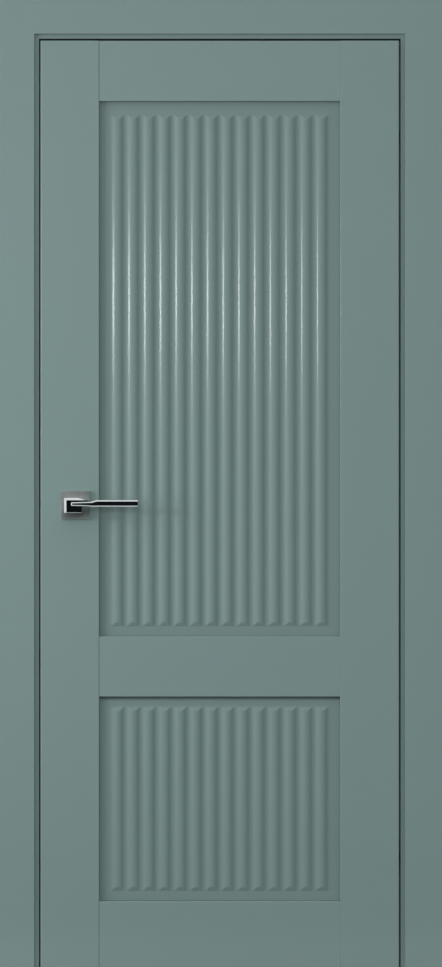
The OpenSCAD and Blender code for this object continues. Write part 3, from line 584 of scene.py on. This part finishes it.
@dataclass(frozen=True)
class RibbedPanel:
    """A solid panel with upright ribs on both faces, as a fine mesh in place of the CAD panel.

    Attributes:
        node: The CAD node that it stands for.
        over_mm: Flat margin above the ribs.
        room_mm: Room that the board leaves free under the rail above it.
        margin_mm: Flat margin below the ribs.
        leaf_t_mm: Thickness of the leaf.
        recess_mm: Depth of the flat below the stile's face.
        tongue_mm: Length of the hidden tongue on each edge.
        tongue_t_mm: Thickness of the tongue, which shows in the room above the board.
        tongue_lap_mm: How far the upper tongue starts inside the board and ends before its groove does.
        shoulder_mm: Play between the panel's board and the leaf's frame.
        ribs: Number of ribs on a face, an even one.
        pitch_mm: Distance from crest to crest.
        crest_mm: Width of the convex part of a rib.
        slope_deg: Steepest slope of a flank.
        end_mm: Length of the slope that ends a rib.
        blend_mm: Rounding between a rib and the slope that ends it.
        rib_columns: Columns of the mesh across a rib.
        end_rows: Rows of the mesh at the end of a rib.
        end_before_mm: How far before the slope those rows start.
        end_after_mm: How far past the slope those rows go on.
        flat_row_mm: How far before the slope one more row lies on the flat.
        inner_rows: Rows of the mesh between the ends of a rib.
    """

    node: str
    over_mm: float = 21.0
    room_mm: float = 0.3
    margin_mm: float = 21.0
    leaf_t_mm: float = 44.0
    recess_mm: float = 11.0
    tongue_mm: float = 12.0
    tongue_t_mm: float = 11.0
    tongue_lap_mm: float = 1.0
    shoulder_mm: float = 0.3
    ribs: int = 14
    pitch_mm: float = 33.4
    crest_mm: float = 19.0
    slope_deg: float = 32.0
    end_mm: float = 8.5
    blend_mm: float = 0.12
    rib_columns: int = 30
    end_rows: int = 34
    end_before_mm: float = 0.6
    end_after_mm: float = 1.5
    flat_row_mm: float = 2.0
    inner_rows: int = 10

    def wave(self, x: np.ndarray) -> np.ndarray:
        """Gives the height of the ribs across the panel.

        Each rib is a convex arc between two concave arcs. The arcs meet on one slope, so the
        curve has no corner. Outside the row of ribs the height is zero.

        Args:
            x: Distances from the panel's middle in millimetres.

        Returns:
            Heights in millimetres.
        """
        rise = math.sin(math.radians(self.slope_deg))
        crest = self.crest_mm / 2
        valley = (self.pitch_mm - self.crest_mm) / 2
        crest_r = crest / rise
        valley_r = valley / rise
        height = (crest_r + valley_r) * (1 - math.cos(math.radians(self.slope_deg)))
        phase = x / self.pitch_mm + self.ribs / 2
        off = np.abs((phase - np.floor(phase) - 0.5) * self.pitch_mm)
        top = height - crest_r + np.sqrt(np.maximum(crest_r ** 2 - np.minimum(off, crest) ** 2, 0))
        dip = np.clip(self.pitch_mm / 2 - off, 0, valley)
        low = valley_r - np.sqrt(valley_r ** 2 - dip ** 2)
        inside = np.abs(x) < self.ribs * self.pitch_mm / 2
        return np.where(inside, np.where(off < crest, top, low), 0.0)

    def columns(self, width: float) -> np.ndarray:
        """Picks the places of the mesh columns, evenly over the ribs and one at each edge.

        Args:
            width: The board's width in millimetres.

        Returns:
            Column places in millimetres from the panel's middle.
        """
        ribbed = self.ribs * self.pitch_mm / 2
        across = np.linspace(-ribbed, ribbed, self.ribs * self.rib_columns + 1)
        return np.concatenate([[-width / 2], across, [width / 2]])

    def rows(self, height: float) -> np.ndarray:
        """Picks the heights of the mesh rows, close together where the ribs end.

        Args:
            height: The board's height in millimetres.

        Returns:
            Row places in millimetres from the board's lower edge.
        """
        end = np.linspace(-self.end_before_mm, self.end_mm + self.end_after_mm, self.end_rows)
        foot, head = (np.concatenate([[0.0, margin - self.flat_row_mm], margin + end])
                      for margin in (self.margin_mm, self.over_mm))
        inner = np.linspace(foot[-1], height - head[-1], self.inner_rows + 2)[1:-1]
        return np.concatenate([foot, inner, height - head[::-1]])

    def relief(self, x: np.ndarray, reach: np.ndarray) -> np.ndarray:
        """Gives the height of the ribs over a whole face.

        The height of a point is the lower of the wave and of the slope that rises from the rib's
        end. A small rounding blends the two, as the paint does: half of the sum of both and the
        blend, less half of the root of their difference squared and the blend squared.

        Args:
            x: Column places in millimetres from the panel's middle.
            reach: How far each row lies past the nearer end of the ribs.

        Returns:
            Heights in millimetres, by row and column.
        """
        crest = self.wave(np.array([self.pitch_mm / 2]))[0]
        ramp = np.clip(reach * (crest / self.end_mm), 0, None)[:, None]
        wave = self.wave(x)[None, :]
        apart = np.sqrt((wave - ramp) ** 2 + self.blend_mm ** 2)
        blended = np.clip((wave + ramp - apart + self.blend_mm) / 2, 0, None)
        return np.where((wave < FLAT_MM) | (ramp < FLAT_MM), 0.0, blended)

    @staticmethod
    def add_board(stack: MeshStack, x: np.ndarray, z: np.ndarray, depth: np.ndarray) -> None:
        """Adds the front, the back and the edges of the board.

        Each face is a grid over X and Z that lies its depth in front of the middle plane or behind
        it. The edges join the outermost points of both grids, with one quad to a step round them.

        Args:
            stack: The mesh to add to.
            x: Column places in millimetres.
            z: Row places in millimetres.
            depth: Distances from the middle plane in millimetres, by row and column.
        """
        numbers = np.arange(depth.size).reshape(depth.shape)
        corners = [numbers[:-1, :-1], numbers[:-1, 1:], numbers[1:, 1:], numbers[1:, :-1]]
        quads = np.stack(corners, -1).reshape(-1, 4)
        rim = np.concatenate([numbers[0, :-1], numbers[:-1, -1], numbers[-1, :0:-1], numbers[:0:-1, 0]])
        grid_x, grid_z = np.meshgrid(x, z)
        edges = []
        for facing in Facing:
            face = np.stack([grid_x, facing.value * depth, grid_z], -1).reshape(-1, 3)
            stack.add(face, quads if facing is Facing.FRONT else quads[:, ::-1], True)
            edges.append(face[rim])
        ring = np.arange(len(rim))
        after = np.roll(ring, -1)
        wall = np.stack([ring, ring + len(rim), after + len(rim), after], -1)
        stack.add(np.concatenate(edges), wall, False)

    def tongue(self, width: float, low: float, high: float) -> np.ndarray:
        """Places the corners of the tongue that shows between the board and the rail above it.

        Args:
            width: The board's width in millimetres.
            low: The top of the board above its lower edge.
            high: The edge of the rail above the board's lower edge.

        Returns:
            Eight corners, with X outermost, then Y, then Z.
        """
        x = [-width / 2, width / 2]
        y = [-self.tongue_t_mm / 2, self.tongue_t_mm / 2]
        z = [low - self.tongue_lap_mm, high + self.tongue_mm - self.tongue_lap_mm]
        return np.stack(np.meshgrid(x, y, z, indexing="ij"), -1).reshape(-1, 3)

    def build(self, paint: bpy.types.Material) -> bpy.types.Object:
        """Builds the board and its upper tongue as one mesh.

        Args:
            paint: The paint of the panels, a shade deeper than the frame's as painted shade.

        Returns:
            The panel, riding on the leaf.
        """
        low, high = (np.array(c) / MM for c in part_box(self.node))
        inset = self.tongue_mm + self.shoulder_mm
        width = high[0] - low[0] - 2 * inset
        opening = high[2] - low[2] - 2 * self.tongue_mm
        height = opening - 2 * self.shoulder_mm
        x = self.columns(width)
        z = self.rows(height)
        reach = np.minimum(z - self.margin_mm, height - z - self.over_mm)
        z[-1] = opening - self.room_mm - self.shoulder_mm
        half_t = self.leaf_t_mm / 2 - self.recess_mm
        stack = MeshStack()
        self.add_board(stack, x, z, half_t + self.relief(x, reach))
        stack.add(self.tongue(width, z[-1], opening), BOX_QUADS, False)
        made = stack.build(f"{self.node}_ribs", [(low[0] + high[0]) / 2, 0, low[2] + inset])
        made.data.materials.append(paint)
        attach(made, "leaf")
        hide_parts(self.node)
        LOG.info("built %s", made.name)
        return made


PANELS = (
    RibbedPanel("upper_panel", over_mm=27.0),
    RibbedPanel("lower_panel", room_mm=6.5),
)


@dataclass(frozen=True)
class Floor:
    """A pale floor under the door.

    Attributes:
        reach: How far it goes to each side, in metres.
    """

    reach: float = 60.0

    def build(self) -> bpy.types.Object:
        """Lays the floor.

        Returns:
            The floor object.
        """
        far = self.reach
        points = np.array([[-far, -far, 0], [far, -far, 0], [far, far, 0], [-far, far, 0]])
        floor = set_mesh("floor", points, np.array([[0, 1, 2, 3]]), np.zeros(1))
        floor.data.materials.append(FLOOR_PAINT.build())
        LOG.info("built %s", floor.name)
        return floor


@dataclass(frozen=True)
class DarkCloth:
    """A dark cloth far behind the camera, with a wing on the right and a run along the floor.

    Attributes:
        left: Its left edge, in metres.
        right: Its right edge, where the wing starts.
        away: The place of its back.
        near: Where the run along the floor ends.
        wing: Where the wing ends.
        top: Its upper edge.
        foot: Its height above the floor.
    """

    left: float = -4.0
    right: float = 9.0
    away: float = -12.0
    near: float = -0.7
    wing: float = 0.5
    top: float = 3.3
    foot: float = 0.01

    def build(self) -> bpy.types.Object:
        """Hangs the cloth.

        Returns:
            The cloth object.
        """
        back = [[x, self.away, z] for z in (self.top, self.foot) for x in (self.left, self.right)]
        run = [[x, self.near, self.foot] for x in (self.left, self.right)]
        wing = [[self.right, self.wing, z] for z in (self.top, self.foot)]
        quads = np.array([[0, 1, 3, 2], [2, 3, 5, 4], [1, 6, 7, 3]])
        cloth = set_mesh("dark_wall", np.array(back + run + wing), quads, np.zeros(len(quads)))
        cloth.data.materials.append(CLOTH.build())
        LOG.info("built %s", cloth.name)
        return cloth


@dataclass(frozen=True)
class Softbox:
    """A soft lamp.

    Attributes:
        name: The lamp's name.
        place: Where it stands, in metres.
        aim: The point that it looks at.
        width: Its width in metres.
        height: Its height in metres.
        power: Its power in watts.
        spread_deg: The angle that its beam fills.
        shows: Whether glossy surfaces show it.
    """

    name: str
    place: tuple[float, float, float]
    aim: tuple[float, float, float]
    width: float
    height: float
    power: float
    spread_deg: float
    shows: bool

    def build(self) -> bpy.types.Object:
        """Sets up the lamp.

        Returns:
            The lamp object.
        """
        lamp = bpy.data.lights.new(self.name, "AREA")
        lamp.shape = "RECTANGLE"
        lamp.size = self.width
        lamp.size_y = self.height
        lamp.energy = self.power
        lamp.spread = math.radians(self.spread_deg)
        made = bpy.data.objects.new(self.name, lamp)
        made.location = self.place
        made.rotation_euler = (Vector(self.aim) - Vector(self.place)).to_track_quat("-Z", "Y").to_euler()
        made.visible_glossy = self.shows
        bpy.context.scene.collection.objects.link(made)
        LOG.info("lit %s", self.name)
        return made


LAMPS = (
    # The one lamp that gloss shows: it draws the bright streaks on the ribs of the upper panel
    Softbox("window_left", (-3.65, -2.3, 1.634), (0, 0, 1.44), width=1.1, height=0.28, power=6.4,
            spread_deg=90, shows=True),
    # Soft light along the leaf, which models the ribs and falls off to the right
    Softbox("side_soft", (-2.2, -1.0, 1.3), (0, 0, 1.2), width=1.0, height=1.2, power=9.5,
            spread_deg=120, shows=False),
    # Even light on the whole front and the whole back
    Softbox("front_soft", (-0.3, -7.5, 2.35), (0, 0, 1.0), width=2.4, height=1.1, power=13,
            spread_deg=60, shows=False),
    Softbox("back_soft", (0.3, 7.5, 2.35), (0, 0, 1.0), width=2.4, height=1.1, power=13,
            spread_deg=60, shows=False),
)


@dataclass(frozen=True)
class Room:
    """The room's light, brighter from the left and from above, and its pale background.

    Attributes:
        level: The mean strength of the light.
        lean: How the strength changes along each axis, as shares of the level.
        light: The sRGB colour of the light.
        pale: The sRGB colour that the camera, metal and glass meet.
    """

    level: float = 0.878
    lean: tuple[float, float, float] = (-0.52, 0.0, 0.2)
    light: str = "#f6f8f8"
    pale: str = "#f1f3f3"

    def build(self) -> bpy.types.World:
        """Makes the world.

        The strength in a direction is the level times one plus the direction's share of the lean.
        Rays that look meet the pale colour instead.

        Returns:
            The world.
        """
        world = bpy.data.worlds.new("studio")
        world.use_nodes = True
        tree = world.node_tree
        tree.nodes.clear()
        toward = add_node(tree, "ShaderNodeTexCoord").outputs["Generated"]
        share = add_node(tree, "ShaderNodeVectorMath", {1: self.lean}, {0: toward}, operation="DOT_PRODUCT")
        strength = add_node(tree, "ShaderNodeMath", {1: self.level, 2: self.level},
                            {0: share.outputs["Value"]}, operation="MULTIPLY_ADD")
        light = add_node(tree, "ShaderNodeBackground", {"Color": linear(self.light)},
                         {"Strength": strength.outputs[0]})
        pale = add_node(tree, "ShaderNodeBackground", {"Color": linear(self.pale), "Strength": 1.0})
        both = add_node(tree, "ShaderNodeMixShader",
                        links={0: looking_rays(tree), 1: light.outputs[0], 2: pale.outputs[0]})
        add_node(tree, "ShaderNodeOutputWorld", links={"Surface": both.outputs[0]})
        LOG.info("lit the room")
        return world


@dataclass(frozen=True)
class Viewpoint:
    """The camera, straight in front of the door and as far off as its lens asks.

    Attributes:
        x_mm: The place across the door that it faces.
        z_mm: The height that it faces.
        tall_mm: The height of the view on the leaf's face.
        face_mm: The place of the leaf's face.
        lens_mm: The focal length.
        sensor_mm: The sensor's longer side, which the view's height fills.
        clip_m: The nearest and the farthest distance that it sees.
    """

    x_mm: float = 2.6
    z_mm: float = 1047.8
    tall_mm: float = 2054.9
    face_mm: float = -22.0
    lens_mm: float = 150.0
    sensor_mm: float = 36.0
    clip_m: tuple[float, float] = (0.05, 100.0)

    def build(self) -> bpy.types.Object:
        """Stands the camera in its place, by the ratio of view and sensor.

        Returns:
            The camera object.
        """
        lens = bpy.data.cameras.new("camera")
        lens.lens = self.lens_mm
        lens.sensor_width = self.sensor_mm
        lens.clip_start, lens.clip_end = self.clip_m
        away = self.tall_mm / 2 * self.lens_mm / (self.sensor_mm / 2)
        made = bpy.data.objects.new("camera", lens)
        made.location = Vector((self.x_mm, self.face_mm - away, self.z_mm)) * MM
        made.rotation_euler = (math.pi / 2, 0, 0)
        bpy.context.scene.collection.objects.link(made)
        LOG.info("stood the camera")
        return made


def main() -> None:
    """Builds the finishes, dresses the CAD nodes, makes the fine panels and sets the studio."""
    logging.basicConfig(level=logging.INFO, format="%(message)s")
    materials = {coat: finish.build() for coat, finish in FINISHES.items()}
    Dresser(materials).dress(frame["nodes"])
    for panel in PANELS:
        panel.build(materials[Coat.SHADED_PANEL_PAINT])
    Floor().build()
    DarkCloth().build()
    for lamp in LAMPS:
        lamp.build()
    bpy.context.scene.world = Room().build()
    bpy.context.scene.camera = Viewpoint().build()
    bpy.context.scene.view_settings.view_transform = "Standard"


if __name__ == "__main__":
    main()
